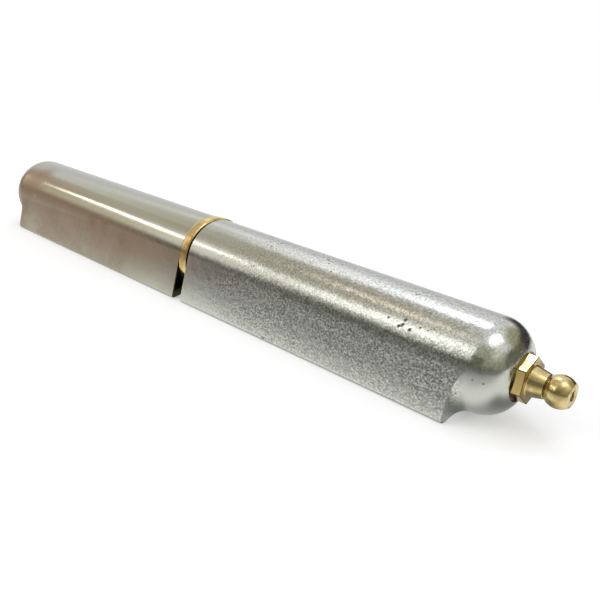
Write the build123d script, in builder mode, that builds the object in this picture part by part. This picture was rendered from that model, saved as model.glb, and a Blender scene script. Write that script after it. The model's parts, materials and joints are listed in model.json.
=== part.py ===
"""Weld-on barrel hinge: two teardrop steel halves on a pressed pin, a brass thrust washer
between them, and a grease fitting in the nose of the half that turns and lifts off.

The hinge lies as it comes to rest: on the washer's rim and on the toes of its two weld tails.
+X runs along the hinge axis towards the grease fitting, +Z is up, and z = 0 is the surface
that the hinge lies on. All sizes are millimetres.
"""
import math
import os

from build123d import *

# --- barrels: one teardrop bar, turned to a dome at its outer end -------------------------------
barrel_diameter = 20.0      # round part of the bar
tail_depth = 12.2           # from the hinge axis down to the sharp corner of the tail
tail_base_angle = 19.5      # how far the narrow base of the tail leans up towards the barrel
toe_round = 0.8             # rounded outer corner of the tail
notch_round = 1.5           # hollow where the tail's base runs into the barrel
half_length = 87.2          # from a barrel's joint face to the crown of its dome
dome_round = 7.2            # corner radius of the turned dome
root_round = 2.0            # hollow that the form tool leaves between dome and tail end
face_chamfer = 0.3          # broken edge round each joint face

# --- pin ---------------------------------------------------------------------------------------
pin_diameter = 12.0
pin_hold = 35.0             # length pressed into the lower barrel
pin_reach = 55.0            # length that the other barrel turns on
pin_chamfer = 1.0
pin_press = 0.01            # radial interference of the press fit
pin_running = 0.06          # radial clearance of the running fit
pin_end_room = 3.0          # grease pocket beyond the pin's end
socket_end_room = 0.5       # air left under the pressed end of the pin
bore_chamfer = 0.5          # lead-in at the mouth of both holes

# --- thrust washer -----------------------------------------------------------------------------
washer_proud = 0.3          # how far its rim stands out of the barrels
washer_thickness = 2.5
washer_running = 0.1        # radial clearance on the pin
washer_edge = 0.25
end_play = 0.3              # axial slack between the washer and the turning barrel

# --- grease fitting: hexagon, neck and ball head, screwed down on a spot face in the dome ---------
seat_cut = 0.8              # depth of the spot face below the crown
spot_face_room = 0.25       # radial room round the hexagon's corners
thread_diameter = 6.0
thread_length = 5.5
thread_clearance = 0.02
tapped_depth = 7.0
grease_passage_diameter = 3.0
hex_across_flats = 8.4
hex_height = 2.5
hex_turn = 34.5             # where the hexagon's corners came to rest when it was screwed in
hex_bevel = 0.35
neck_base_diameter = 6.1
neck_waist_diameter = 5.0
neck_groove_width = 0.4     # turned groove between the neck and the ball head
neck_groove_depth = 0.25
head_diameter = 6.5
fitting_height = 10.3       # from the hexagon's seat to the flat tip
tip_rise = 2.35             # from the middle of the ball head to the flat tip

# --- check valve inside the fitting ------------------------------------------------------------
inlet_diameter = 1.6
inlet_bevel = 0.45          # rounded-in rim of the rolled lip that keeps the ball in
inlet_length = 0.55         # from the flat tip to the top of the ball's seat
chamber_diameter = 2.8
chamber_floor = 3.0         # height of the step that the spring stands on
outlet_diameter = 1.6       # from the chamber down through the thread
ball_diameter = 2.4
ball_seat_clearance = 0.02
ball_travel = 0.8
spring_wire = 0.3
spring_wire_sides = 8       # the round wire is drawn with eight sides
spring_coil_diameter = 2.0  # to the middle of the wire
spring_turns = 4
spring_clearance = 0.05

# --- places worked out from the sizes above ------------------------------------------------------
barrel_radius = barrel_diameter / 2
pin_radius = pin_diameter / 2
washer_radius = barrel_radius + washer_proud
joint_gap = washer_thickness + end_play
dome_start = half_length - dome_round
tail_length = dome_start - root_round
seat_distance = half_length - seat_cut
hex_corner_radius = hex_across_flats / 2 / math.cos(math.pi / 6)

# The toe's rounding, seen along the hinge axis with the weld flat upright on the -u side.
base_slope = math.radians(tail_base_angle)
toe_u = -barrel_radius + toe_round
toe_v = -tail_depth + toe_round * (math.tan(base_slope) + 1 / math.cos(base_slope))
toe_distance = math.hypot(toe_u, toe_v)

# The section is turned until one level line touches both the washer's rim and the toe.
support_angle = math.atan2(toe_v, toe_u) + math.acos((washer_radius - toe_round) / toe_distance)
rest_tilt = -math.pi / 2 - support_angle
toe_y = toe_u * math.cos(rest_tilt) - toe_v * math.sin(rest_tilt) - toe_round

# The origin is at the middle of the whole hinge's footprint.
axis_y = -(toe_y + washer_radius) / 2
axis_z = washer_radius
middle_x = (half_length - seat_distance - fitting_height) / 2
pin_face_x = middle_x - joint_gap / 2
bore_face_x = middle_x + joint_gap / 2
seat_x = bore_face_x + seat_distance

hinge_axis = Axis((0, axis_y, axis_z), (1, 0, 0))


def across(x):
    """The plane square to the hinge axis at x, with u to the back and v up the weld flat."""
    return Plane(
        origin=(x, axis_y, axis_z),
        x_dir=(0, math.cos(rest_tilt), math.sin(rest_tilt)),
        z_dir=(1, 0, 0),
    )


def along(x, way=1):
    """The plane through the hinge axis: first value away from x, second value out from the axis."""
    return Plane(origin=(x, axis_y, axis_z), x_dir=(way, 0, 0), z_dir=(0, -1, 0))


def teardrop():
    """The bar's section: a round barrel with a weld flat and a tail down one side."""
    reach = barrel_radius * 0.75
    base_v = -tail_depth + reach * math.tan(base_slope)
    with BuildSketch() as section:
        Circle(barrel_radius)
        with BuildLine():
            Polyline(
                (-barrel_radius, 0),
                (-barrel_radius, -tail_depth),
                (-barrel_radius + reach, base_v),
                (0, 0),
                close=True,
            )
        make_face()
        toe = section.vertices().sort_by_distance((-barrel_radius, -tail_depth))[0]
        fillet(toe, toe_round)
        notch_v = -tail_depth + 0.6 * barrel_radius * math.tan(base_slope)
        notch = section.vertices().sort_by_distance((-0.4 * barrel_radius, notch_v))[0]
        fillet(notch, notch_round)
    return section.sketch


def end_waste():
    """What the form tool turns away at a bar's end: all that lies outside the dome."""
    clear = barrel_radius + tail_depth
    crown_flat = barrel_radius - dome_round
    with BuildSketch() as waste:
        with BuildLine():
            CenterArc((dome_start, crown_flat), dome_round, 0, 90)
            CenterArc((dome_start, barrel_radius + root_round), root_round, 180, 90)
            Polyline(
                (tail_length, barrel_radius + root_round),
                (tail_length, clear),
                (half_length, clear),
                (half_length, crown_flat),
            )
        make_face()
    return waste.sketch


# --- pin barrel: the half that holds the pin ---------------------------------------------------
with BuildPart() as pin_barrel:
    with BuildSketch(across(pin_face_x)):
        add(teardrop())
    extrude(amount=-half_length)
    with BuildSketch(along(pin_face_x, -1)):
        add(end_waste())
    revolve(axis=hinge_axis, mode=Mode.SUBTRACT)
    joint_face = pin_barrel.faces().filter_by(Axis.X).sort_by(Axis.X)[-1]
    chamfer(joint_face.edges(), face_chamfer)
    with Locations(across(pin_face_x)):
        Hole(pin_radius - pin_press, depth=pin_hold + socket_end_room)
    joint_face = pin_barrel.faces().filter_by(Axis.X).sort_by(Axis.X)[-1]
    chamfer(joint_face.inner_wires()[0].edges(), bore_chamfer)
pin_barrel.part.label = "pin_barrel"

# --- pin ---------------------------------------------------------------------------------------
with BuildPart() as hinge_pin:
    with BuildSketch(across(pin_face_x - pin_hold)):
        Circle(pin_radius)
    extrude(amount=pin_hold + joint_gap + pin_reach)
    chamfer(hinge_pin.edges().filter_by(GeomType.CIRCLE), pin_chamfer)
hinge_pin.part.label = "hinge_pin"

# --- thrust washer: lies against the pin barrel's face --------------------------------------------
with BuildPart() as thrust_washer:
    with BuildSketch(across(pin_face_x)):
        Circle(washer_radius)
        Circle(pin_radius + washer_running, mode=Mode.SUBTRACT)
    extrude(amount=washer_thickness)
    rim = thrust_washer.edges().filter_by(GeomType.CIRCLE)
    chamfer(rim, washer_edge)
thrust_washer.part.label = "thrust_washer"

# --- bore barrel: the half that turns on the pin and carries the fitting --------------------------
with BuildPart() as bore_barrel:
    with BuildSketch(across(bore_face_x)):
        add(teardrop())
    extrude(amount=half_length)
    with BuildSketch(along(bore_face_x)):
        add(end_waste())
    revolve(axis=hinge_axis, mode=Mode.SUBTRACT)
    joint_face = bore_barrel.faces().filter_by(Axis.X).sort_by(Axis.X)[0]
    chamfer(joint_face.edges(), face_chamfer)
    with BuildSketch(across(seat_x)):
        Circle(hex_corner_radius + spot_face_room)
    extrude(amount=seat_cut, mode=Mode.SUBTRACT)
    with Locations(across(seat_x)):
        CounterBoreHole(
            radius=grease_passage_diameter / 2,
            counter_bore_radius=thread_diameter / 2 + thread_clearance,
            counter_bore_depth=tapped_depth,
            depth=seat_distance,
        )
    with BuildSketch(across(bore_face_x)):
        Circle(pin_radius + pin_running)
    extrude(amount=pin_reach + pin_end_room, mode=Mode.SUBTRACT)
    joint_face = bore_barrel.faces().filter_by(Axis.X).sort_by(Axis.X)[0]
    chamfer(joint_face.inner_wires()[0].edges(), bore_chamfer)
bore_barrel.part.label = "bore_barrel"

# --- grease fitting ------------------------------------------------------------------------------
head_radius = head_diameter / 2
waist_radius = neck_waist_diameter / 2
chamber_radius = chamber_diameter / 2
inlet_radius = inlet_diameter / 2
head_centre_height = fitting_height - tip_rise
waist_height = head_centre_height - math.sqrt(head_radius ** 2 - waist_radius ** 2)
tip_radius = math.sqrt(head_radius ** 2 - tip_rise ** 2)
seat_top = fitting_height - inlet_length
seat_bottom = seat_top - (chamber_radius - inlet_radius)
with BuildPart() as grease_fitting:
    with BuildSketch(across(seat_x)):
        RegularPolygon(hex_corner_radius, 6, rotation=hex_turn)
    extrude(amount=hex_height)
    with BuildSketch(along(seat_x)):
        with BuildLine():
            Polyline(
                (0, hex_corner_radius - hex_bevel),
                (hex_bevel / 2, hex_corner_radius),
                (hex_height - hex_bevel / 2, hex_corner_radius),
                (hex_height, hex_corner_radius - hex_bevel),
                (hex_height, 0),
                (0, 0),
                close=True,
            )
        make_face()
    revolve(axis=hinge_axis, mode=Mode.INTERSECT)
    with BuildSketch(along(seat_x)):
        with BuildLine():
            Polyline((fitting_height, tip_radius), (fitting_height, 0), (0, 0), (0, waist_radius))
            Polyline((0, waist_radius), (hex_height, neck_base_diameter / 2))
            Polyline(
                (hex_height, neck_base_diameter / 2),
                (waist_height - neck_groove_width, waist_radius),
                (waist_height - neck_groove_width / 2, waist_radius - neck_groove_depth),
                (waist_height, waist_radius),
            )
            ThreePointArc(
                (waist_height, waist_radius),
                (head_centre_height, head_radius),
                (fitting_height, tip_radius),
            )
        make_face()
    revolve(axis=hinge_axis)
    with BuildSketch(across(seat_x)):
        Circle(thread_diameter / 2)
    extrude(amount=-thread_length)
    with BuildSketch(along(seat_x)):
        with BuildLine():
            Polyline(
                (fitting_height, 0),
                (fitting_height, inlet_radius + inlet_bevel),
                (fitting_height - inlet_bevel, inlet_radius),
                (seat_top, inlet_radius),
                (seat_bottom, chamber_radius),
                (chamber_floor, chamber_radius),
                (chamber_floor, outlet_diameter / 2),
                (-thread_length, outlet_diameter / 2),
                (-thread_length, 0),
                close=True,
            )
        make_face()
    revolve(axis=hinge_axis, mode=Mode.SUBTRACT)
grease_fitting.part.label = "grease_fitting"

# --- check ball: shut against its conical seat ----------------------------------------------------
ball_radius = ball_diameter / 2
seat_reach = (ball_radius + ball_seat_clearance) * math.sqrt(2)
ball_height = seat_top + inlet_radius - seat_reach
with BuildPart() as check_ball:
    with Locations((seat_x + ball_height, axis_y, axis_z)):
        Sphere(ball_radius)
check_ball.part.label = "check_ball"

# --- check spring: from the step in the neck to the back of the ball ------------------------------
coil_radius = spring_coil_diameter / 2
wire_radius = spring_wire / 2
ball_back = math.sqrt((ball_radius + wire_radius) ** 2 - coil_radius ** 2)
spring_bottom = chamber_floor + wire_radius + spring_clearance
spring_top = ball_height - ball_back - spring_clearance
spring_height = spring_top - spring_bottom
with BuildPart() as check_spring:
    with BuildLine() as coil:
        Helix(
            pitch=spring_height / spring_turns,
            height=spring_height,
            radius=coil_radius,
            center=(seat_x + spring_bottom, axis_y, axis_z),
            direction=(1, 0, 0),
        )
    with BuildSketch(coil.line ^ 0):
        RegularPolygon(wire_radius, spring_wire_sides)
    sweep()
check_spring.part.label = "check_spring"

# --- one file per piece -------------------------------------------------------------------------
pieces = (
    pin_barrel, hinge_pin, thrust_washer, bore_barrel, grease_fitting, check_ball, check_spring
)
os.makedirs("parts", exist_ok=True)
for piece in pieces:
    export_step(piece.part, f"parts/{piece.part.label}.step")
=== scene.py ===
"""Dress, light and frame the weld-on barrel hinge.

The hinge lies on a pale table as it comes to rest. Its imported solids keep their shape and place.
Copies of the two barrels with softened tail ends show in their stead, and so does a finer model
of the grease fitting. Each piece gets its metal, and then the studio is set up.
Lengths are metres, +X runs along the hinge axis towards the grease fitting, and +Z is up.
"""

import json
import logging
import math
from collections.abc import Callable
from dataclasses import dataclass
from enum import IntEnum
from functools import partial, reduce
from itertools import pairwise

import bmesh
import bpy
from mathutils import Matrix, Quaternion, Vector

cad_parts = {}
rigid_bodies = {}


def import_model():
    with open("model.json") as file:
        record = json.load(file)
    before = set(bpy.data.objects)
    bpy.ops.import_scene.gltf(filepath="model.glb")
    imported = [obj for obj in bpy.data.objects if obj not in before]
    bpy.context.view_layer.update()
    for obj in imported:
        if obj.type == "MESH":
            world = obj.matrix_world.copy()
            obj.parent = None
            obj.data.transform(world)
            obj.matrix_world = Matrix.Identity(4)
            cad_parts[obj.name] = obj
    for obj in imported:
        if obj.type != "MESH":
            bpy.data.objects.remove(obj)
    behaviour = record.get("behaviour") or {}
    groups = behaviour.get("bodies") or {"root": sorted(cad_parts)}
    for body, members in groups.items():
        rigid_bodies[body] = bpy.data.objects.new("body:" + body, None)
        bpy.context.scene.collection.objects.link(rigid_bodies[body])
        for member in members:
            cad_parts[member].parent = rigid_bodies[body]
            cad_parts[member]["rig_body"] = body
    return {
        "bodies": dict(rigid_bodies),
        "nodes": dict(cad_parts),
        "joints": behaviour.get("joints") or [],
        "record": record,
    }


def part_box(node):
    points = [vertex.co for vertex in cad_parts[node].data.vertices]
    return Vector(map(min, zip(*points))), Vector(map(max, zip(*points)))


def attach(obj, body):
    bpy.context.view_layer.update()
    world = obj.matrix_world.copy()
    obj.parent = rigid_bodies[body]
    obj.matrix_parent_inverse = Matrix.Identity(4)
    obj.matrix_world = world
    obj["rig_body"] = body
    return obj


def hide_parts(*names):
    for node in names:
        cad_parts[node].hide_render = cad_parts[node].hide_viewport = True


MM = 0.001
LOG = logging.getLogger("hinge")

Socket = bpy.types.NodeSocket
Triple = tuple[float, float, float]
Colour = Triple
Value = Socket | float | Triple
Range = tuple[float, float]
Fade = tuple[float, float, float, float]    # where it starts and ends, and the values there


def hinge_axis() -> Vector:
    """Return the point of the hinge axis at X = 0, from the washer round it."""
    low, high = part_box("thrust_washer")
    return Vector((0, (low[1] + high[1]) / 2, (low[2] + high[2]) / 2))


# --- node building ---
class Graph:
    """Adds and joins the nodes of one shader node tree."""

    def __init__(self, tree: bpy.types.NodeTree) -> None:
        """Start on a tree.

        Args:
            tree: the node tree that the nodes go into.
        """
        self.tree = tree

    def add(self, kind: str, **settings: object) -> bpy.types.Node:
        """Add a node.

        Args:
            kind: the node's type name without its ShaderNode prefix.
            settings: attributes to set on the node.

        Returns:
            The new node.
        """
        node = self.tree.nodes.new("ShaderNode" + kind)
        for name, value in settings.items():
            setattr(node, name, value)
        return node

    def feed(self, socket: Socket, value: Value) -> None:
        """Set or link an input.

        Args:
            socket: the input socket.
            value: an output socket to link, or a plain value to set. A colour gets full alpha.
        """
        if isinstance(value, Socket):
            self.tree.links.new(value, socket)
        elif socket.type == "RGBA":
            socket.default_value = (*value, 1.0)
        else:
            socket.default_value = value

    def split(self, vector: Socket) -> list[Socket]:
        """Split a vector.

        Args:
            vector: the vector's socket.

        Returns:
            Its X, Y and Z.
        """
        node = self.add("SeparateXYZ")
        self.feed(node.inputs[0], vector)
        return list(node.outputs)

    def math(self, operation: str, *values: Value, clamp: bool = False) -> Socket:
        """Add a Math node.

        Args:
            operation: the operation's name.
            values: sockets or numbers for its inputs, in order.
            clamp: keeps the result between 0 and 1.

        Returns:
            The result's socket.
        """
        node = self.add("Math", operation=operation, use_clamp=clamp)
        for socket, value in zip(node.inputs, values):
            self.feed(socket, value)
        return node.outputs[0]

    def times(self, *values: Value) -> Socket:
        """Return the product of the values."""
        return reduce(partial(self.math, "MULTIPLY"), values)

    def plus(self, *values: Value) -> Socket:
        """Return the sum of the values."""
        return reduce(partial(self.math, "ADD"), values)

    def vector(self, operation: str, *values: Value) -> Socket:
        """Add a Vector Math node.

        Args:
            operation: the operation's name.
            values: sockets or vectors for its inputs, in order.

        Returns:
            The result's socket: a number for a distance or a length, and else a vector.
        """
        node = self.add("VectorMath", operation=operation)
        for socket, value in zip(node.inputs, values):
            self.feed(socket, value)
        return node.outputs["Value" if operation in ("DISTANCE", "LENGTH") else "Vector"]

    def fade(self, value: Value, start: Value, end: Value, low: Value = 0.0,
             high: Value = 1.0) -> Socket:
        """Map a value smoothly from one range to another.

        Args:
            value: what is mapped.
            start: the value that gives low.
            end: the value that gives high.
            low: the result at start.
            high: the result at end.

        Returns:
            The result's socket.
        """
        node = self.add("MapRange", interpolation_type="SMOOTHSTEP")
        for socket, given in zip(node.inputs, (value, start, end, low, high)):
            self.feed(socket, given)
        return node.outputs[0]

    def mix(self, factor: Value, a: Value, b: Value, blend: str = "MIX") -> Socket:
        """Mix two colours.

        Args:
            factor: the share of the second colour.
            a: the first colour.
            b: the second colour.
            blend: the blend type.

        Returns:
            The mixed colour's socket.
        """
        node = self.add("Mix", data_type="RGBA", blend_type=blend)
        self.feed(node.inputs[0], factor)
        self.feed(node.inputs[6], a)
        self.feed(node.inputs[7], b)
        return node.outputs[2]

    def noise(self, vector: Socket, scale: Value, detail: float = 2.0,
              roughness: float = 0.5, distortion: float = 0.0) -> Socket:
        """Add a noise pattern.

        Args:
            vector: where the pattern is read.
            scale: waves per metre.
            detail: how many finer layers it has.
            roughness: how strong the finer layers are.
            distortion: how much it is warped.

        Returns:
            The pattern's value, about 0 to 1.
        """
        node = self.add("TexNoise")
        for name, value in (("Vector", vector), ("Scale", scale), ("Detail", detail),
                            ("Roughness", roughness), ("Distortion", distortion)):
            self.feed(node.inputs[name], value)
        return node.outputs[0]

    def bump(self, height: Socket, distance: float = 1.0) -> Socket:
        """Add a Bump node.

        Args:
            height: how high the surface stands.
            distance: how many metres a height of 1 is.

        Returns:
            The socket of the bent normal.
        """
        node = self.add("Bump")
        self.feed(node.inputs["Distance"], distance)
        self.feed(node.inputs["Height"], height)
        return node.outputs[0]


class Surface(Graph):
    """The graph of one material, which knows the place of the point that it shades, in metres."""

    def __init__(self, name: str) -> None:
        """Make the material.

        Args:
            name: the material's name.
        """
        self.material = bpy.data.materials.new(name)
        self.material.use_nodes = True
        super().__init__(self.material.node_tree)
        self.place = self.add("TexCoord").outputs["Object"]
        self.x, self.y, self.z = self.split(self.place)

    def paint(self, looks: dict[str, Value]) -> None:
        """Feed the Principled BSDF; looks holds what each input gets, by its name."""
        for name, value in looks.items():
            self.feed(self.tree.nodes["Principled BSDF"].inputs[name], value)


# --- shared effects ---
class EffectGroup:
    """A shader node group that several finishes share.

    It takes a vector and some numbers, which have defaults, and gives numbers.
    """

    name = ""
    inputs: dict[str, float] = {}
    outputs: tuple[str, ...] = ()

    @classmethod
    def tree(cls) -> bpy.types.NodeTree:
        """Build the group when it is first asked for.

        Returns:
            The group's node tree.
        """
        known = bpy.data.node_groups.get(cls.name)
        if known:
            return known
        tree = bpy.data.node_groups.new(cls.name, "ShaderNodeTree")
        new_socket = partial(tree.interface.new_socket, socket_type="NodeSocketFloat")
        tree.interface.new_socket("Vector", in_out="INPUT", socket_type="NodeSocketVector")
        for name, value in cls.inputs.items():
            new_socket(name, in_out="INPUT").default_value = value
        for name in cls.outputs:
            new_socket(name, in_out="OUTPUT")
        given = tree.nodes.new("NodeGroupInput")
        made = tree.nodes.new("NodeGroupOutput")
        cls.fill(Graph(tree), given.outputs, made.inputs)
        return tree

    @classmethod
    def fill(cls, graph: Graph, given: bpy.types.NodeOutputs, made: bpy.types.NodeInputs) -> None:
        """Build the group's inside.

        Args:
            graph: the group's own graph.
            given: the sockets that bring its inputs.
            made: the sockets that take its outputs.
        """
        raise NotImplementedError

    @classmethod
    def place(cls, graph: Surface, **values: Value) -> bpy.types.NodeOutputs:
        """Place the group in a material, to act at the shaded point.

        Args:
            graph: the material's graph.
            values: a value or socket for each other input, by its name in lower case.

        Returns:
            The group's outputs.
        """
        node = graph.add("Group", node_tree=cls.tree())
        graph.feed(node.inputs["Vector"], graph.place)
        for name, value in values.items():
            graph.feed(node.inputs[name.capitalize()], value)
        return node.outputs


class Hammered(EffectGroup):
    """Coarse hammered grain: close bumps, a bright and dark speckle, and scattered deep pits.

    The scales below are shares of the scale that is given.
    """

    name = "hammered"
    inputs = {"Scale": 2200.0, "Pits": 0.3}
    outputs = ("Height", "Speckle", "Pit")
    broad_scale, broad_share = 0.35, 0.8
    pit_scale, pit_depth = 0.5, 1.6
    pit_rim: Fade = (0.14, 0.3, 1.0, 0.0)
    pitted_scale = 0.11
    pitted: Range = (0.62, 0.68)
    fleck_scale = 0.8
    flecked: Range = (0.36, 0.64)

    @classmethod
    def fill(cls, graph: Graph, given: bpy.types.NodeOutputs, made: bpy.types.NodeInputs) -> None:
        """See EffectGroup.fill."""
        vector, scale = given["Vector"], given["Scale"]
        close = graph.noise(vector, scale, detail=3.0, roughness=0.6)
        broad = graph.noise(vector, graph.times(scale, cls.broad_scale), detail=1.0)
        cells = graph.add("TexVoronoi", feature="SMOOTH_F1")
        graph.feed(cells.inputs["Vector"], vector)
        graph.feed(cells.inputs["Scale"], graph.times(scale, cls.pit_scale))
        hollow = graph.fade(cells.outputs["Distance"], *cls.pit_rim)
        chosen = graph.fade(graph.noise(vector, graph.times(scale, cls.pitted_scale)), *cls.pitted)
        pit = graph.times(hollow, chosen, given["Pits"])
        bumps = graph.plus(close, graph.times(broad, cls.broad_share))
        fleck = graph.noise(vector, graph.times(scale, cls.fleck_scale), roughness=0.7)
        graph.feed(made["Height"],
                   graph.math("SUBTRACT", bumps, graph.times(pit, cls.pit_depth)))
        graph.feed(made["Speckle"], graph.fade(fleck, *cls.flecked))
        graph.feed(made["Pit"], pit)


class Mottle(EffectGroup):
    """Soft uneven staining, in broad patches with a finer break-up."""

    name = "mottle"
    inputs = {"Scale": 60.0}
    outputs = ("Stain",)
    fine_scale, fine_share = 7.0, 0.25
    stained: Range = (0.45, 0.85)

    @classmethod
    def fill(cls, graph: Graph, given: bpy.types.NodeOutputs, made: bpy.types.NodeInputs) -> None:
        """See EffectGroup.fill."""
        vector, scale = given["Vector"], given["Scale"]
        broad = graph.noise(vector, scale, detail=3.0, roughness=0.55, distortion=0.6)
        fine = graph.noise(vector, graph.times(scale, cls.fine_scale))
        both = graph.plus(broad, graph.times(fine, cls.fine_share))
        graph.feed(made["Stain"], graph.fade(both, *cls.stained))


# --- finishes ---
@dataclass(frozen=True)
class Finish:
    """A metal finish: what every material of the hinge has."""

    name: str
    colour: Colour
    roughness: float

    def material(self) -> bpy.types.Material:
        """Build the material.

        Returns:
            The new material.
        """
        graph = Surface(self.name)
        graph.paint({"Metallic": 1.0, **self.looks(graph)})
        return graph.material

    def looks(self, graph: Surface) -> dict[str, Value]:
        """Work out how the finish looks at the shaded point.

        Args:
            graph: the material's graph.

        Returns:
            What each input of the Principled BSDF gets, by its name.
        """
        raise NotImplementedError


PIT: Colour = (0.04, 0.04, 0.035)
# near black on the joint face: grease and painted shade in the gap between the halves
GREASE_AND_SHADE: Colour = (0.03, 0.035, 0.02)
# painted shade at the bottom of the recess round the fitting's seat, painted light at its top
RECESS_PAINTED_SHADE: Colour = (0.12, 0.1, 0.07)
RECESS_PAINTED_LIGHT: Colour = (0.62, 0.62, 0.5)
# painted shade in the hollow by the tail's end, where the dome keeps the light off
HOLLOW_PAINTED_SHADE: Colour = (0.11, 0.13, 0.11)
# a painted shadow line along the foot of the weld flat
FOOT_PAINTED_SHADOW: Colour = (0.05, 0.05, 0.05)
RUST: Colour = (0.36, 0.25, 0.18)
PALE_FLECK: Colour = (0.8, 0.75, 0.7)


@dataclass(frozen=True)
class Mark:
    """A pit, speck or blotch at one place of a surface; lengths are millimetres."""

    x: float
    y: float
    z: float
    radius: float = 0.25
    strength: float = 0.8
    soft: float = 0.7
    colour: Colour = PIT
    dulling: float = 0.0
    reach: float = 1.75         # where it ends, in radii, with the noise added to the distance
    unevenness: float = 1.4     # how strong the noise is, in radii
    waves: float = 0.9          # of the noise, in each radius

    def share(self, graph: Surface) -> Socket:
        """Work out how much of the mark shows.

        Args:
            graph: the material's graph.

        Returns:
            A socket from 0 to the mark's strength.
        """
        radius = self.radius * MM
        apart = graph.vector("DISTANCE", graph.place, (self.x * MM, self.y * MM, self.z * MM))
        uneven = graph.times(graph.noise(graph.place, self.waves / radius, detail=3.0),
                             self.unevenness * radius)
        return graph.fade(graph.plus(apart, uneven), radius * self.reach,
                          radius * (self.reach - self.soft), 0.0, self.strength)


@dataclass(frozen=True)
class ZincPlate(Finish):
    """Bright zinc plate on drawn steel, smooth at one place along the bar and grainy at another.

    The grain is deepest on the weld flat and ends where the bar is turned. The joint face is black
    with grease and painted shade, and the lower side is browner in mottled patches. The recess
    round the fitting's seat has painted shade low down and painted light high up, the hollow by
    the tail's end has painted shade, and the flat's foot a painted shadow line.
    A fade along the bar starts at a place in X, and one up the bar at a height.
    """

    smooth_x: float = 0.0
    grainy_x: float = 1.0
    least_grain: float = 0.05
    turned_x: float = 1.0
    turned_fade: float = 3 * MM
    dome_grain: Fade = (11 * MM, 15 * MM, 0.03, 0.8)
    grain_scale: float = 2200.0
    grain_depth: float = 0.0
    flat_top: Range = (10.2 * MM, 13 * MM)
    upper_depth: float = 0.25
    wave_scale: float = 420.0
    wave_depth: float = 0.0
    draw_scale: float = 1900.0
    draw_stretch: Triple = (0.05, 1.0, 1.0)
    draw_depth: float = 0.0
    pits: float = 0.3
    speckle: float = 0.0
    flecks: Fade = (0.0, 1.0, 0.6, 1.32)
    upper_flecks: Fade = (15 * MM, 10 * MM, 0.45, 1.0)
    lower_flecks: Fade = (1 * MM, 9.5 * MM, 0.55, 1.25)
    patch_scale: float = 260.0
    patches: Fade = (0.35, 0.65, 0.7, 1.3)
    crests: Range = (0.5, 1.3)
    crest_dulling: Range = (0.08, -0.05)
    stain_colour: Colour = (0.42, 0.35, 0.29)
    stain_scale: float = 70.0
    stain: float = 0.2
    stain_top: float = 0.0
    stain_fade: float = 5 * MM
    stain_dulling: float = 0.25
    joint: Range = (0.0, 0.0)
    recess: Range = (1.0, 1.0)
    recess_up: Range = (9 * MM, 13 * MM)
    hollow_x: float = 1.0
    hollow_start: float = 0.3 * MM
    hollow_end: Range = (3.2 * MM, 1.6 * MM)
    hollow_shade: Fade = (7.5 * MM, 1.5 * MM, 0.0, 0.8)
    foot: float = 0.35 * MM
    foot_shadow: float = 0.75
    marks: tuple[Mark, ...] = ()

    def looks(self, graph: Surface) -> dict[str, Value]:
        """See Finish.looks."""
        turned = graph.fade(graph.x, self.turned_x, self.turned_x + self.turned_fade, 1.0,
                            graph.fade(graph.z, *self.dome_grain))
        amount = graph.times(
            graph.fade(graph.x, self.smooth_x, self.grainy_x, self.least_grain, 1.0), turned)
        grain = Hammered.place(graph, scale=self.grain_scale, pits=self.pits)
        stain = graph.times(Mottle.place(graph, scale=self.stain_scale)["Stain"], self.stain,
                            graph.fade(graph.z, self.stain_top, self.stain_top - self.stain_fade))
        sunk = self.sunk(graph)
        colour = graph.mix(stain, self.colour, self.stain_colour)
        colour = self.shaded_and_greased(graph, self.flecked(graph, colour, amount, grain), sunk)
        dulling = graph.times(stain, self.stain_dulling)
        for mark in self.marks:
            shown = mark.share(graph)
            colour = graph.mix(shown, colour, mark.colour)
            if mark.dulling:
                dulling = graph.plus(dulling, graph.times(shown, mark.dulling))
        rough = graph.fade(grain["Height"], *self.crests,
                           *(self.roughness + more for more in self.crest_dulling))
        # the recess is not metal, so that its painted shade and painted light show as plain colour
        return {"Base Color": colour, "Metallic": graph.math("SUBTRACT", 1.0, sunk),
                "Roughness": graph.plus(rough, dulling),
                "Normal": graph.bump(self.relief(graph, amount, grain["Height"]))}

    def flecked(self, graph: Surface, colour: Socket, amount: Socket,
                grain: bpy.types.NodeOutputs) -> Socket:
        """Add the flecks and pits of the grain.

        Args:
            graph: the material's graph.
            colour: the colour so far.
            amount: how much grain there is.
            grain: the outputs of the hammered grain.

        Returns:
            The colour with them.
        """
        share = graph.times(
            amount, graph.fade(graph.z, *self.upper_flecks),
            graph.fade(graph.z, *self.lower_flecks),
            graph.fade(graph.noise(graph.place, self.patch_scale), *self.patches), self.speckle)
        flecks = graph.fade(grain["Speckle"], *self.flecks)
        colour = graph.mix(share, colour, graph.mix(1.0, colour, flecks, blend="MULTIPLY"))
        return graph.mix(graph.math("MULTIPLY", grain["Pit"], amount, clamp=True), colour, PIT)

    def shaded_and_greased(self, graph: Surface, colour: Socket, sunk: Socket) -> Socket:
        """Add the grease and painted shade of the joint face, the painted shade and light of the
        recess, the painted shade of the hollow and the painted shadow at the flat's foot.

        Args:
            graph: the material's graph.
            colour: the colour so far.
            sunk: 1 in the recess and 0 elsewhere.

        Returns:
            The colour with them.
        """
        # the joint face is painted near black: grease and painted shade in the gap between the
        # halves
        greased_and_shaded = graph.times(graph.math("GREATER_THAN", graph.x, self.joint[0]),
                             graph.math("LESS_THAN", graph.x, self.joint[1]))
        # painted shade low in the recess round the fitting's seat, painted light high up in it
        recess = graph.mix(graph.fade(graph.z, *self.recess_up), RECESS_PAINTED_SHADE, RECESS_PAINTED_LIGHT)
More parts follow.
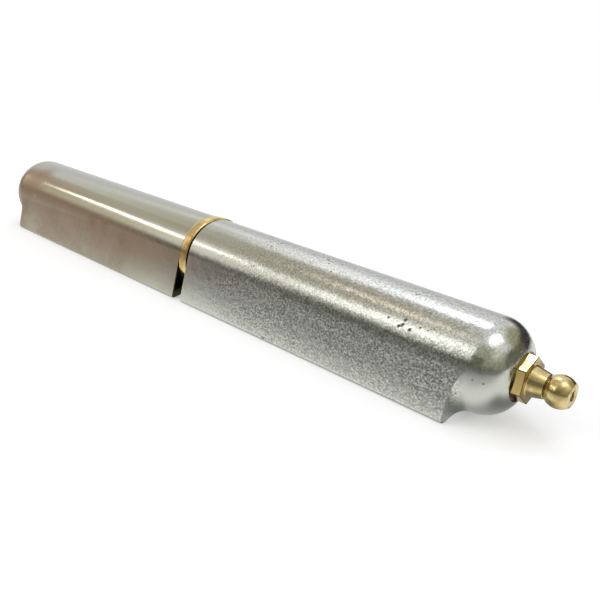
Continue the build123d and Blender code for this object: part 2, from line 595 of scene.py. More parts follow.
        # painted shade in the hollow between the tail's end and the dome, darkest low down
        hollow = graph.times(
            graph.fade(graph.x, self.hollow_x, self.hollow_x + self.hollow_start),
            graph.fade(graph.x, *(self.hollow_x + end for end in self.hollow_end)),
            graph.fade(graph.z, *self.hollow_shade))
        # a painted shadow line along the flat's bottom edge
        foot = graph.times(graph.math("LESS_THAN", graph.z, self.foot), self.foot_shadow)
        for share, dirt in ((greased_and_shaded, GREASE_AND_SHADE), (sunk, recess), (hollow, HOLLOW_PAINTED_SHADE),
                            (foot, FOOT_PAINTED_SHADOW)):
            colour = graph.mix(share, colour, dirt)
        return colour

    def relief(self, graph: Surface, amount: Socket, bumps: Socket) -> Socket:
        """Work out the height of the surface: its grain, drawing lines and waves.

        Args:
            graph: the material's graph.
            amount: how much grain there is.
            bumps: the height of the hammered grain.

        Returns:
            A socket in metres.
        """
        depth = graph.fade(graph.z, *self.flat_top, self.grain_depth,
                           self.grain_depth * self.upper_depth)
        drawn = graph.vector("MULTIPLY", graph.place, self.draw_stretch)
        return graph.plus(
            graph.times(bumps, amount, depth),
            graph.times(graph.noise(drawn, self.draw_scale), self.draw_depth),
            graph.times(graph.noise(graph.place, self.wave_scale, detail=1.0), self.wave_depth))

    def sunk(self, graph: Surface) -> Socket:
        """Find the recess round the fitting's seat.

        Args:
            graph: the material's graph.

        Returns:
            A socket that is 1 in the recess and 0 elsewhere.
        """
        start, radius = self.recess
        out = graph.vector("SUBTRACT", graph.place, hinge_axis())
        out = graph.vector("LENGTH", graph.vector("MULTIPLY", out, (0, 1, 1)))
        return graph.times(graph.math("LESS_THAN", out, radius),
                           graph.math("GREATER_THAN", graph.x, start))


@dataclass(frozen=True)
class Brass(Finish):
    """Turned brass, tarnished a little in patches and with fine tool marks."""

    tarnish_colour: Colour = (0.34, 0.19, 0.07)
    tarnish: float = 0.4
    tarnish_scale: float = 260.0
    tarnish_dulling: float = 0.15
    mark_scale: float = 5200.0
    mark_stretch: Triple = (1.0, 0.06, 0.06)
    mark_depth: float = 0.004 * MM

    def looks(self, graph: Surface) -> dict[str, Value]:
        """See Finish.looks."""
        stain = Mottle.place(graph, scale=self.tarnish_scale)["Stain"]
        marks = graph.noise(graph.vector("MULTIPLY", graph.place, self.mark_stretch),
                            self.mark_scale, detail=1.0)
        return {"Base Color": graph.mix(graph.times(stain, self.tarnish), self.colour,
                                        self.tarnish_colour),
                "Roughness": graph.fade(stain, 0.0, 1.0, self.roughness,
                                        self.roughness + self.tarnish_dulling),
                "Normal": graph.bump(marks, self.mark_depth)}


@dataclass(frozen=True)
class BareSteel(Finish):
    """Ground steel with a faint uneven film of grease."""

    film: float = 0.3
    film_colour: Colour = (0.3, 0.27, 0.2)
    film_scale: float = 120.0
    film_dulling: float = 0.18

    def looks(self, graph: Surface) -> dict[str, Value]:
        """See Finish.looks."""
        stain = Mottle.place(graph, scale=self.film_scale)["Stain"]
        return {"Base Color": graph.mix(graph.times(stain, self.film), self.colour,
                                        self.film_colour),
                "Roughness": graph.fade(stain, 0.0, 1.0, self.roughness,
                                        self.roughness + self.film_dulling)}


PIN_ZINC = ZincPlate("zinc_pin_half", colour=(0.49, 0.49, 0.435), roughness=0.14,
                     smooth_x=-90 * MM, grainy_x=0.0, grain_scale=1800.0, grain_depth=0.02 * MM,
                     pits=0.0, draw_depth=0.004 * MM, wave_depth=0.008 * MM, stain=0.6,
                     stain_top=16 * MM, joint=(-6.35 * MM, -2 * MM),
                     marks=(Mark(-81, -7, 16, 8.5, 0.8, 1.1, RUST, 0.35),
                            Mark(-84, -10, 5, 7.5, 0.5, 1.2, RUST, 0.2),
                            Mark(-46, -10, 11.2, 3.6, 0.8, 1.5, RUST, 0.2),
                            Mark(-39, -10, 10.8, 3.4, 0.75, 1.5, RUST, 0.2),
                            Mark(-31, -10, 9, 3, 0.65, 1.5, RUST, 0.2),
                            Mark(-77.5, -9.3, 11.5, 0.4, 0.9, 0.6, PALE_FLECK)))
BORE_ZINC = ZincPlate("zinc_bore_half", colour=(0.52, 0.525, 0.5), roughness=0.17,
                      smooth_x=-4 * MM, grainy_x=26 * MM, turned_x=74 * MM, grain_scale=2500.0,
                      grain_depth=0.1 * MM, wave_depth=0.05 * MM, speckle=0.85, pits=0.9,
                      draw_depth=0.002 * MM, stain=0.1, joint=(-8 * MM, -3.33 * MM),
                      recess=(83 * MM, 5.13 * MM), hollow_x=74.4 * MM,
                      marks=(Mark(61, -8.2, 15, 0.62, 1.0), Mark(60.4, -8.4, 14.6, 0.5, 1.0),
                             Mark(62.9, -8.4, 14.6, 0.55, 1.0), Mark(61.3, -7.6, 16, 0.45, 1.0),
                             Mark(57.5, -8, 15.4, 0.4, 0.9), Mark(64.9, -7.8, 15.6, 0.35, 0.9),
                             Mark(66.7, -7.8, 15.6, 0.3, 0.9), Mark(78.3, -9.1, 10.2, 0.3, 0.6),
                             Mark(80.2, -8.4, 10, 0.3, 0.6), Mark(83, -7, 11.6, 0.25, 0.5)))
WASHER_BRASS = Brass("brass_washer", colour=(0.85, 0.64, 0.3), roughness=0.14, tarnish=0.85,
                     tarnish_scale=140.0)
FITTING_BRASS = Brass("brass_fitting", colour=(0.67, 0.56, 0.28), roughness=0.16, tarnish=0.6,
                      tarnish_scale=420.0)
HEX_BRASS = Brass("brass_hexagon", colour=(0.72, 0.55, 0.22), roughness=0.12, tarnish=0.06)
# painted shade: near-black brass on the hexagon's bevelled edges, inside the inlet and in the
# groove under the head
PAINTED_SHADE_BRASS = Brass("brass_painted_shade", colour=(0.17, 0.1, 0.045), roughness=0.3)
PIN_STEEL = BareSteel("ground_steel", colour=(0.55, 0.55, 0.56), roughness=0.2)
VALVE_STEEL = BareSteel("valve_steel", colour=(0.5, 0.5, 0.5), roughness=0.15, film=0.1)


# --- pieces ---
MERGE = 0.001 * MM                  # points closer than this become one
FLAT_ANGLE = math.radians(0.4)      # facets that meet flatter than this become one


@dataclass(frozen=True)
class EdgeBreak:
    """A softening of the sharp edges in one stretch of a piece, between two places along X."""

    width: float
    start_x: float = -1.0
    end_x: float = 1.0
    least_angle: float = math.radians(35)
    segments: int = 3

    def cut(self, piece: bpy.types.Object) -> None:
        """Bevel the edges that are sharp enough and lie wholly in the stretch.

        Args:
            piece: the active object, in edit mode.
        """
        bpy.ops.mesh.select_all(action="DESELECT")
        mesh = bmesh.from_edit_mesh(piece.data)
        for edge in mesh.edges:
            inside = all(self.start_x < v.co.x < self.end_x for v in edge.verts)
            edge.select_set(inside and edge.is_manifold
                            and edge.calc_face_angle() > self.least_angle)
        bmesh.update_edit_mesh(piece.data)
        bpy.ops.mesh.bevel(offset=self.width, segments=self.segments, clamp_overlap=True)


@dataclass(frozen=True)
class Part:
    """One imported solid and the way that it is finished."""

    node: str
    finish: Finish
    slot: str
    breaks: tuple[EdgeBreak, ...] = ()
    smooth_angle: float = math.radians(28)

    def dress(self, frame: dict) -> bpy.types.Object:
        """Give the solid its material, on a copy with its edges broken where it has such edges.


        Returns:
            The object that shows.
        """
        solid = frame["nodes"][self.node]
        shown = self.softened(solid) if self.breaks else solid
        shown.data.materials.clear()
        shown.data.materials.append(self.finish.material())
        LOG.info("%s finished as %s", shown.name, self.finish.name)
        return shown

    def softened(self, solid: bpy.types.Object) -> bpy.types.Object:
        """Copy a solid, join its facets, break its sharp edges and let the copy stand for it.

        Args:
            solid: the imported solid.

        Returns:
            The finished copy, riding on the solid's body.
        """
        made = bpy.data.objects.new(self.node + "_soft", solid.data.copy())
        bpy.context.scene.collection.objects.link(made)
        bpy.ops.object.select_all(action="DESELECT")
        made.select_set(True)
        bpy.context.view_layer.objects.active = made
        bpy.ops.mesh.customdata_custom_splitnormals_clear()
        bpy.ops.object.mode_set(mode="EDIT")
        bpy.ops.mesh.select_all(action="SELECT")
        bpy.ops.mesh.remove_doubles(threshold=MERGE)
        bpy.ops.mesh.dissolve_limited(angle_limit=FLAT_ANGLE)
        for edge_break in self.breaks:
            edge_break.cut(made)
        bpy.ops.object.mode_set(mode="OBJECT")
        bpy.ops.object.shade_smooth_by_angle(angle=self.smooth_angle)
        made.select_set(False)
        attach(made, solid["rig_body"])
        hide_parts(self.node)
        return made


# --- modelling in edit mode ---
Ring = tuple[float, float]      # a place along the hinge, and a radius


def arc(x: float, radius: float, size: float, start: float, end: float, steps: int) -> list[Ring]:
    """Return rings along a round profile.

    Args:
        x: the place of the round's centre along the hinge.
        radius: how far that centre is from the axis.
        size: the round's own radius.
        start: the first direction, in degrees from +X outwards.
        end: the last direction.
        steps: how many steps the round has.

    Returns:
        The rings, each a place along the hinge and a radius.
    """
    turns = (math.radians(start + (end - start) * k / steps) for k in range(steps + 1))
    return [(x + size * math.cos(turn), radius + size * math.sin(turn)) for turn in turns]


def choose(piece: bpy.types.Object, fits: Callable[[bmesh.types.BMEdge], bool]) -> None:
    """Select in edit mode just the edges that fit.

    Args:
        piece: the active object, in edit mode.
        fits: tells whether an edge is wanted.
    """
    bpy.ops.mesh.select_mode(type="EDGE")
    bpy.ops.mesh.select_all(action="DESELECT")
    mesh = bmesh.from_edit_mesh(piece.data)
    for edge in mesh.edges:
        edge.select_set(fits(edge))
    mesh.select_flush_mode()
    bmesh.update_edit_mesh(piece.data)


def turned(name: str, axis: Vector, rings: list[Ring], sides: int = 72) -> bpy.types.Object:
    """Model a hollow turned body: a circle extruded and resized from ring to ring, then closed.

    Args:
        name: the new object's name.
        axis: a point of the hinge axis.
        rings: the profile, once round its whole section.
        sides: how many sides each ring has.

    Returns:
        The new object, in object mode.
    """
    bpy.ops.object.select_all(action="DESELECT")
    start, radius = rings[0]
    bpy.ops.mesh.primitive_circle_add(vertices=sides, radius=radius, rotation=(0, math.pi / 2, 0),
                                      location=(start, axis.y, axis.z))
    made = bpy.context.object
    made.name = name
    bpy.ops.object.transform_apply(location=True, rotation=True, scale=True)
    bpy.ops.object.mode_set(mode="EDIT")
    bpy.ops.mesh.select_all(action="SELECT")
    for (x, radius), (next_x, next_radius) in pairwise(rings):
        grow = next_radius / radius
        bpy.ops.mesh.extrude_region_move(TRANSFORM_OT_translate={"value": (next_x - x, 0, 0)})
        bpy.ops.transform.resize(value=(1, grow, grow), center_override=(next_x, axis.y, axis.z))
    choose(made, lambda edge: edge.is_boundary)
    bpy.ops.mesh.bridge_edge_loops()
    bpy.ops.mesh.select_all(action="SELECT")
    bpy.ops.mesh.normals_make_consistent(inside=False)
    bpy.ops.object.mode_set(mode="OBJECT")
    return made


class FaceLook(IntEnum):
    """The finishes of the fitting's faces, painted shade among them, in the order of its material
    slots.
    """

    CLEAN = 0
    GRIMY = 1
    DRAWN = 2


@dataclass(frozen=True)
class GreaseFitting:
    """The brass grease fitting: a bevelled hexagon on a turned body with its valve chamber.

    Heights are measured from the hexagon's seat towards the tip.
    """

    across_flats: float = 8.4 * MM
    hex_height: float = 2.5 * MM
    hex_angle: float = math.radians(34.5 - 8.9606)      # its turn on the thread, less the tilt
    hex_bevel: float = 0.14 * MM
    hex_overlap: float = 0.5 * MM
    thread_radius: float = 3.0 * MM
    thread_length: float = 5.5 * MM
    thread_chamfer: float = 0.4 * MM
    neck_base: float = 3.05 * MM
    neck_fillet: float = 0.4 * MM
    neck_waist: float = 2.5 * MM
    groove_width: float = 0.4 * MM
    groove_depth: float = 0.25 * MM
    groove_shade: float = 0.8           # the share of the groove's width that gets painted shade
    head_radius: float = 3.25 * MM
    height: float = 10.3 * MM
    tip_rise: float = 2.35 * MM
    tip_round: float = 0.12 * MM
    tip_drop: float = 0.03 * MM
    tip_margin: float = 2.5             # degrees of the head's arc that the tip's round takes
    inlet: float = 0.8 * MM
    lip: float = 0.45 * MM
    lip_land: float = 0.1 * MM
    inlet_length: float = 0.55 * MM
    chamber: float = 1.4 * MM
    chamber_floor: float = 3.0 * MM
    smooth_angle: float = math.radians(9)
    square: float = 0.02                # how far off a direction still counts as along it
    slanted: float = 0.2                # how much a groove's face leans along the axis

    @property
    def neck_end(self) -> float:
        """Return the height at which the neck meets the ball head."""
        head = self.height - self.tip_rise
        return head - math.sqrt(self.head_radius ** 2 - self.neck_waist ** 2)

    def build(self) -> bpy.types.Object:
        """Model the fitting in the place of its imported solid.

        Returns:
            The finished object, riding on the bore half.
        """
        axis = hinge_axis()
        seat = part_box("grease_fitting")[1][0] - self.height
        made = turned("fitting_body", axis, [(seat + x, radius) for x, radius in self.profile()])
        hexagon = self.hexagon(axis, seat)
        finishes = [finish.material() for finish in (FITTING_BRASS, PAINTED_SHADE_BRASS, HEX_BRASS)]
        for piece in (made, hexagon):
            piece.data.materials.clear()
            for finish in finishes:
                piece.data.materials.append(finish)
        for face in hexagon.data.polygons:
            face.material_index = self.hexagon_look(face.normal)
        for face in made.data.polygons:
            face.material_index = self.body_look(face, axis, seat)
        bpy.context.view_layer.objects.active = made
        union = made.modifiers.new("union", "BOOLEAN")
        union.operation, union.object, union.solver = "UNION", hexagon, "EXACT"
        bpy.ops.object.modifier_apply(modifier=union.name)
        bpy.data.objects.remove(hexagon)
        made.select_set(True)
        bpy.ops.object.shade_smooth_by_angle(angle=self.smooth_angle)
        made.select_set(False)
        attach(made, "bore_half")
        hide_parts("grease_fitting")
        LOG.info("%s modelled, %d faces", made.name, len(made.data.polygons))
        return made

    def hexagon_look(self, normal: Vector) -> FaceLook:
        """Choose the finish of a face of the hexagon.

        Args:
            normal: the way that the face points.

        Returns:
            Drawn on the six flats, clean on both ends, and painted shade on the edges between.
        """
        if abs(normal.x) >= 1 - self.square:
            return FaceLook.CLEAN
        turn = (math.atan2(normal.z, normal.y) - self.hex_angle) % (math.pi / 3) - math.pi / 6
        is_flat = abs(normal.x) < self.square and abs(turn) < self.square
        return FaceLook.DRAWN if is_flat else FaceLook.GRIMY

    def body_look(self, face: bpy.types.MeshPolygon, axis: Vector, seat: float) -> FaceLook:
        """Choose the finish of a face of the turned body.

        Args:
            face: the face.
            axis: a point of the hinge axis.
            seat: the place of the hexagon's seat along the hinge.

        Returns:
            Painted shade inside the inlet and in the groove under the head, and else clean.
        """
        out = math.hypot(face.center.y - axis.y, face.center.z - axis.z)
        from_head = seat + self.neck_end - face.center.x
        in_groove = (0 < from_head < self.groove_width * self.groove_shade
                     and abs(face.normal.x) > self.slanted)
        return FaceLook.GRIMY if out < self.inlet + self.lip_land or in_groove else FaceLook.CLEAN

    def profile(self) -> list[Ring]:
        """Return the body's section: up its outside, round the head, and back down inside."""
        head = self.height - self.tip_rise
        neck_end = self.neck_end
        tip = math.sqrt(self.head_radius ** 2 - self.tip_rise ** 2)
        first = 180 - math.degrees(math.asin(self.neck_waist / self.head_radius))
        last = math.degrees(math.asin(tip / self.head_radius)) + self.tip_margin
        fillet = self.neck_fillet
        seat_top = self.height - self.inlet_length
        return [
            (-self.thread_length, self.thread_radius - self.thread_chamfer),
            (-self.thread_length + self.thread_chamfer, self.thread_radius),
            (self.hex_height - fillet, self.thread_radius),
            (self.hex_height - fillet, self.neck_base + fillet),
            *arc(self.hex_height + fillet, self.neck_base + fillet, fillet, 180, 270, 5),
            (neck_end - self.groove_width, self.neck_waist),
            *arc(neck_end - self.groove_width / 2, self.neck_waist, self.groove_depth,
                 -160, -20, 4),
            *arc(head, 0, self.head_radius, first, last, 16),
            (self.height - self.tip_drop, tip - self.tip_round / 2),
            (self.height, tip - self.tip_round * 1.5),
            (self.height, self.inlet + self.lip + self.lip_land),
            *arc(self.height - self.lip, self.inlet + self.lip, self.lip, 0, -90, 5),
            (seat_top, self.inlet),
            (seat_top - (self.chamber - self.inlet), self.chamber),
            (self.chamber_floor, self.chamber),
            (self.chamber_floor, self.inlet),
            (-self.thread_length, self.inlet),
        ]

    def hexagon(self, axis: Vector, seat: float) -> bpy.types.Object:
        """Model the hexagon as a ring with bevelled edges.

        Args:
            axis: a point of the hinge axis.
            seat: the place of its seat along the hinge.

        Returns:
            The new object, in object mode.
        """
        bpy.ops.object.select_all(action="DESELECT")
        turn = Matrix.Rotation(self.hex_angle, 3, "X") @ Matrix.Rotation(math.pi / 2, 3, "Y")
        bpy.ops.mesh.primitive_cylinder_add(
            vertices=6, radius=self.across_flats / 2 / math.cos(math.pi / 6),
            depth=self.hex_height, rotation=turn.to_euler(),
            location=(seat + self.hex_height / 2, axis.y, axis.z))
        made = bpy.context.object
        bpy.ops.object.transform_apply(location=True, rotation=True, scale=True)
        bpy.ops.object.mode_set(mode="EDIT")
        bpy.ops.mesh.select_mode(type="FACE")
        bpy.ops.mesh.select_all(action="DESELECT")
        mesh = bmesh.from_edit_mesh(made.data)
        for face in mesh.faces:
            face.select_set(abs(face.normal.x) > 1 - self.square)
        bmesh.update_edit_mesh(made.data)
        bpy.ops.mesh.inset(thickness=self.across_flats / 2 - self.thread_radius + self.hex_overlap,
                           use_individual=True)
        bpy.ops.mesh.bridge_edge_loops()

        def outer(vertex: bmesh.types.BMVert) -> bool:
            """Tell whether a vertex is on the outside of the hexagon."""
            out = math.hypot(vertex.co.y - axis.y, vertex.co.z - axis.z)
            return out > self.across_flats / 2

        choose(made, lambda edge: all(map(outer, edge.verts)))
        bpy.ops.mesh.bevel(offset=self.hex_bevel, segments=3)
        bpy.ops.object.mode_set(mode="OBJECT")
        made.select_set(False)
        return made


# --- sub-assemblies ---
@dataclass(frozen=True)
class PinHalf:
    """The half that stays: a barrel with its weld flat, and the pin pressed into it."""

    barrel: Part = Part("pin_barrel", PIN_ZINC, "zinc_steel",
                        (EdgeBreak(0.4 * MM, end_x=-70 * MM),))
    pin: Part = Part("hinge_pin", PIN_STEEL, "pin_steel")

    def build(self, frame: dict) -> None:
        self.barrel.dress(frame)
        self.pin.dress(frame)


@dataclass(frozen=True)
class Washer:
    """The brass thrust washer between the halves."""

    ring: Part = Part("thrust_washer", WASHER_BRASS, "washer_brass")

    def build(self, frame: dict) -> None:
        self.ring.dress(frame)


@dataclass(frozen=True)
class BoreHalf:
    """The half that turns and lifts off, with the grease fitting and its valve."""

    barrel: Part = Part("bore_barrel", BORE_ZINC, "zinc_steel",
                        (EdgeBreak(0.4 * MM, start_x=60 * MM, end_x=80 * MM),))
    ball: Part = Part("check_ball", VALVE_STEEL, "valve_steel")
    spring: Part = Part("check_spring", VALVE_STEEL, "valve_steel")
    fitting: GreaseFitting = GreaseFitting()

    def build(self, frame: dict) -> None:
        for part in (self.barrel, self.ball, self.spring):
            part.dress(frame)
        self.fitting.build()


# --- studio ---
def direction(azimuth: float, elevation: float) -> Vector:
    """Return the unit vector towards an azimuth, from +X round by +Y, and an elevation."""
    a, e = math.radians(azimuth), math.radians(elevation)
    return Vector((math.cos(a) * math.cos(e), math.sin(a) * math.cos(e), math.sin(e)))


@dataclass(frozen=True)
class Lamp:
    """A soft lamp that stands round the hinge, facing it."""

    name: str
    azimuth: float
    elevation: float
    width: float
    height: float
    colour: Colour
    strength: float
    turn: float = 0.0
    distance: float = 1.6

    def build(self) -> None:
        """Stand the lamp at its place."""
        wide, high = (2 * self.distance * math.tan(math.radians(angle) / 2)
                      for angle in (self.width, self.height))
        data = bpy.data.lights.new(self.name, "AREA")
        data.shape = "RECTANGLE"
        data.size, data.size_y = wide, high
        data.color = self.colour
        data.energy = self.strength * math.pi * wide * high
        made = bpy.data.objects.new(self.name, data)
        bpy.context.scene.collection.objects.link(made)
        towards = direction(self.azimuth, self.elevation)
        made.location = towards * self.distance
        level = towards.to_track_quat("Z", "Y")
        made.rotation_euler = (level @ Quaternion((0, 0, 1), math.radians(self.turn))).to_euler()


def mirrored_glow(made: bpy.types.Object, name: str) -> tuple[Surface, bpy.types.NodeInputs]:
    """Let only shiny surfaces show an object, and make it glow.

    Args:
        made: the object.
        name: the name that it and its material get.

    Returns:
        The material's graph, and the inputs of its Emission node.
    """
    made.name = name
    made.visible_camera = made.visible_diffuse = made.visible_shadow = False
    graph = Surface(name)
    glow = graph.add("Emission")
    graph.feed(graph.tree.nodes["Material Output"].inputs["Surface"], glow.outputs[0])
    made.data.materials.append(graph.material)
    return graph, glow.inputs


@dataclass(frozen=True)
class Patch:
    """A soft-edged patch of the tent's wall in a shade of its own; the sizes are degrees."""

    azimuth: float
    elevation: float
    width: float
    height: float
    colour: Colour
    edge: float

    def share(self, graph: Graph, azimuth: Socket, elevation: Socket) -> Socket:
        """Return how much of the patch shows in a direction.

        Args:
            graph: the tent's graph.
            azimuth: the direction's azimuth, in degrees from +X.
            elevation: the direction's elevation, in degrees.

        Returns:
            A socket from 0 to 1.
        """
        beside = graph.math("WRAP", graph.math("SUBTRACT", azimuth, self.azimuth), 180.0, -180.0)
        above = graph.math("SUBTRACT", elevation, self.elevation)
        return graph.times(*(
            graph.fade(graph.math("ABSOLUTE", off), (size + self.edge) / 2, (size - self.edge) / 2)
            for off, size in ((beside, self.width), (above, self.height))))


@dataclass(frozen=True)
class Tent:
    """The white tent round the hinge, which only shiny surfaces show, with its patches."""

    white: Colour = (1.0, 1.0, 0.99)
    radius: float = 3.0
    patches: tuple[Patch, ...] = (
        # beyond the pin half, for the upper sides and weld flats of both halves
        Patch(142, 12, 96, 34, (0.79, 0.8, 0.8), 10.0),
        Patch(150, 42, 34, 18, (1.3, 1.3, 1.3), 9.0),
        Patch(-166, 52, 84, 34, (0.76, 0.74, 0.63), 12.0),
        Patch(146, 57, 42, 22, (1.6, 1.6, 1.6), 13.0),
        Patch(-160, 54, 52, 20, (0.6, 0.56, 0.47), 8.0),
        Patch(-145, 41, 50, 11, (0.6, 0.56, 0.43), 6.0),
        Patch(-163, 33, 24, 9, (0.7, 0.67, 0.55), 5.0),
        Patch(-137, 22, 28, 20, (1.12, 1.1, 0.95), 6.0),
        Patch(-149, 19.5, 19, 8, (1.3, 1.25, 1.08), 6.0),
        Patch(-160, 12, 34, 20, (0.82, 0.75, 0.58), 8.0),
        Patch(-167, 16, 24, 26, (0.58, 0.42, 0.31), 8.0),
        Patch(-162, 0, 48, 18, (0.44, 0.3, 0.22), 8.0),
        # in front and off the nose, for the dome, the washer and the fitting
        Patch(-70, 42, 90, 26, (0.5, 0.51, 0.4), 12.0),
        Patch(-31, 12, 196, 38, (0.19, 0.195, 0.145), 12.0),
        Patch(-115, 19, 13, 14, (1.05, 1.05, 0.95), 7.0),
        Patch(-117, 36, 12, 15, (2.2, 2.2, 2.1), 7.0),
        Patch(-122, 0, 40, 16, (0.13, 0.13, 0.11), 8.0),
        Patch(-54, 20, 30, 22, (0.45, 0.44, 0.32), 12.0),
        Patch(-25, 38, 32, 38, (1.0, 1.0, 0.86), 22.0),
        Patch(-20, 16, 34, 22, (0.45, 0.45, 0.32), 16.0),
        # behind the nose, for the dome's far side
        Patch(48, 42, 60, 36, (0.5, 0.49, 0.31), 14.0),
        Patch(38, 14, 60, 30, (0.2, 0.2, 0.13), 12.0),
        Patch(80, 12, 54, 34, (0.06, 0.057, 0.06), 12.0),
        # overhead, for the bright top of the dome
        Patch(-25, 73, 80, 32, (2.3, 2.3, 2.25), 18.0),
    )

    def build(self) -> None:
        """Pitch the tent."""
        bpy.ops.mesh.primitive_uv_sphere_add(segments=48, ring_count=24, radius=self.radius)
        made = bpy.context.object
        graph, glow = mirrored_glow(made, "tent")
        azimuth = graph.math("DEGREES", graph.math("ARCTAN2", graph.y, graph.x))
        rise = graph.math("ARCSINE", graph.math("DIVIDE", graph.z, self.radius))
        elevation = graph.math("DEGREES", rise)
        colour = self.white
        for patch in self.patches:
            colour = graph.mix(patch.share(graph, azimuth, elevation), colour, patch.colour)
        graph.feed(glow["Color"], colour)


@dataclass(frozen=True)
class Apron:
    """A sheet in front of the hinge that only shiny surfaces show, so that its sides look dark.

    It darkens in steps away from the hinge, and is browner on the left. It carries a painted
    shadow of the hinge under the nose and behind it.
    """

    steps: tuple[Range, ...] = ((-11, 1.1), (-30, 0.7), (-60, 0.42), (-100, 0.24))
    left_steps: tuple[Range, ...] = ((-11, 0.72), (-30, 0.6), (-60, 0.5), (-140, 0.47))
    tint: Colour = (1.0, 1.01, 0.95)
    left_tint: Colour = (1.0, 0.91, 0.79)
    far_tint: Colour = (1.0, 0.74, 0.59)
    far: Range = (-15 * MM, -60 * MM)
    left: Range = (20 * MM, -40 * MM)
    slant: float = 0.9
    shade_x: Range = (98 * MM, 85 * MM)
    shade_y: Range = (-12 * MM, -3 * MM)
    toe_x: Range = (79 * MM, 86 * MM)
    behind_x: Range = (101 * MM, 97 * MM)
    behind_y: Range = (4 * MM, 14 * MM)
    shade: float = 0.28
    toe_shade: float = 0.5
    start_y: float = 60 * MM
    height: float = 0.4 * MM
    reach: float = 2.8

    def build(self) -> None:
        """Lay the sheet down."""
        bpy.ops.mesh.primitive_plane_add(size=1)
        made = bpy.context.object
        made.scale = (2 * self.reach, self.reach, 1.0)
        made.location = (0, self.start_y - self.reach / 2, self.height)
        bpy.ops.object.transform_apply(location=True, rotation=False, scale=True)
        graph, glow = mirrored_glow(made, "apron")
        x, y = graph.x, graph.y
        leftward = graph.fade(graph.math("SUBTRACT", x, graph.times(y, self.slant)), *self.left)
        left_tint = graph.mix(graph.fade(y, *self.far), self.left_tint, self.far_tint)
        strength = graph.fade(leftward, 0.0, 1.0, self.strength(graph, y, self.steps),
                              self.strength(graph, y, self.left_steps))
        # a painted shadow of the hinge on the sheet, under the nose and behind it
        under = graph.times(graph.fade(x, *self.shade_x), graph.fade(y, *self.shade_y))
        behind = graph.times(graph.fade(x, *self.behind_x), graph.fade(y, *self.behind_y))
        shade = graph.fade(x, *self.toe_x, self.toe_shade, self.shade)
        graph.feed(glow["Color"], graph.mix(leftward, self.tint, left_tint))
        graph.feed(glow["Strength"],
                   graph.fade(graph.math("MAXIMUM", under, behind), 0.0, 1.0, strength, shade))

    @staticmethod
    def strength(graph: Graph, y: Socket, steps: tuple[Range, ...]) -> Value:
        """Work out the brightness at a place.

        Args:
            graph: the material's graph.
            y: how far the place is in front of the hinge.
            steps: places in millimetres and the brightness at each.

        Returns:
            The brightness.
        """
        bright: Value = steps[0][1]
        for (near, _), (far, dark) in pairwise(steps):
            bright = graph.fade(y, near * MM, far * MM, bright, dark)
        return bright


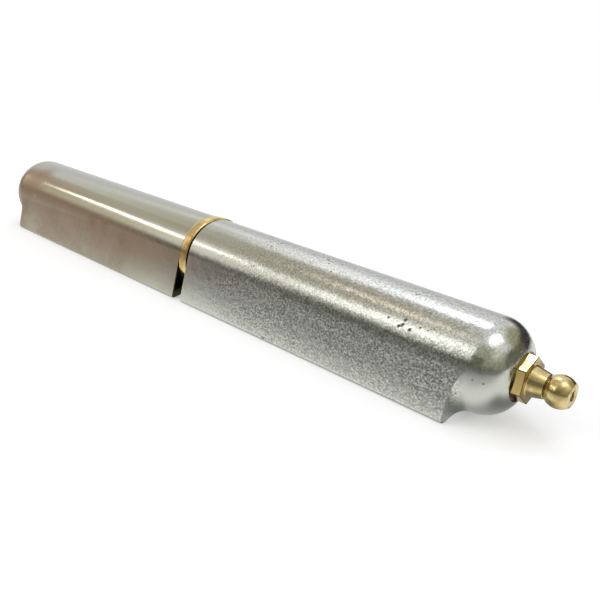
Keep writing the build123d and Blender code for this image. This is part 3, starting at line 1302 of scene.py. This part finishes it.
@dataclass(frozen=True)
class Studio:
    """The room, the table, the lamps, the tent with its apron, and the camera."""

    lamps: tuple[Lamp, ...] = (
        Lamp("strip_lamp", -121.5, 26.5, 15, 13, (1.0, 0.99, 0.95), 1.6),
        Lamp("line_lamp", -149, 25.2, 17, 3.6, (1.0, 0.98, 0.9), 3.3, turn=15),
        Lamp("top_lamp", -25, 73, 26, 14, (0.98, 0.99, 1.0), 1.3),
        Lamp("facet_lamp", 138.5, 66, 12, 7.5, (0.8, 0.92, 1.25), 4.6),
        Lamp("thin_lamp", -142, 54.5, 15, 4.5, (1.0, 0.88, 0.74), 1.6),
    )
    white: Colour = (1.0, 1.0, 1.0)
    room_light: float = 0.7
    table_size: float = 6.0
    table_colour: Colour = (0.9, 0.9, 0.9)
    table_roughness: float = 0.9
    table_glow: Fade = (0.3, 1.2, 0.3, 0.4)     # by the distance from the hinge
    eye: Triple = (132.86, -125.01, 62.95)      # millimetres
    aim: Triple = (27.01, 0.3, 8.02)            # millimetres
    roll: float = math.radians(6.944)
    lens: float = 43.96
    sensor: float = 36.0
    clip_start: float = 5 * MM

    def build(self) -> None:
        """Set up the whole studio."""
        bpy.context.scene.view_settings.view_transform = "Standard"
        self.surroundings()
        self.table()
        for lamp in self.lamps:
            lamp.build()
        Tent().build()
        Apron().build()
        self.camera()

    def surroundings(self) -> None:
        """Make the room: plain soft light, white where it is seen or mirrored."""
        world = bpy.data.worlds.new("room")
        bpy.context.scene.world = world
        world.use_nodes = True
        graph = Graph(world.node_tree)
        back = world.node_tree.nodes["Background"]
        graph.feed(back.inputs["Color"], self.white)
        graph.feed(back.inputs["Strength"],
                   graph.fade(self.seen(graph), 0.0, 1.0, self.room_light, 1.0))

    @staticmethod
    def seen(graph: Graph) -> Socket:
        """Tell apart what the camera sees, mirrored or through glass too.

        Args:
            graph: the graph of the material or the room.

        Returns:
            A socket that is 1 where it is seen and 0 elsewhere.
        """
        path = graph.add("LightPath").outputs
        mirrored = graph.math("MAXIMUM", path["Is Glossy Ray"], path["Is Transmission Ray"])
        return graph.math("MAXIMUM", path["Is Camera Ray"], mirrored)

    def table(self) -> None:
        """Make the pale table, white where it is seen but for the hinge's shadow."""
        bpy.ops.mesh.primitive_plane_add(size=self.table_size)
        top = bpy.context.object
        top.name = "table"
        graph = Surface("table")
        glow = graph.fade(graph.vector("LENGTH", graph.place), *self.table_glow)
        graph.paint({"Base Color": self.table_colour, "Roughness": self.table_roughness,
                     "Emission Color": self.white,
                     "Emission Strength": graph.times(self.seen(graph), glow)})
        top.data.materials.append(graph.material)

    def camera(self) -> None:
        """Stand the camera at its place, aimed and rolled."""
        eye = Vector(self.eye) * MM
        data = bpy.data.cameras.new("camera")
        data.lens = self.lens
        data.sensor_width = self.sensor
        data.clip_start = self.clip_start
        made = bpy.data.objects.new("camera", data)
        bpy.context.scene.collection.objects.link(made)
        made.location = eye
        level = (Vector(self.aim) * MM - eye).to_track_quat("-Z", "Y")
        made.rotation_mode = "QUATERNION"
        made.rotation_quaternion = level @ Quaternion((0, 0, 1), self.roll)
        bpy.context.scene.camera = made


def main() -> None:
    """Dress the hinge, piece by piece, and set up the studio."""
    logging.basicConfig(level=logging.INFO, format="%(message)s")
    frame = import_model()
    bpy.ops.object.select_all(action="DESELECT")
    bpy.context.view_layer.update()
    for assembly in (PinHalf(), Washer(), BoreHalf()):
        assembly.build(frame)
    Studio().build()


if __name__ == "__main__":
    main()
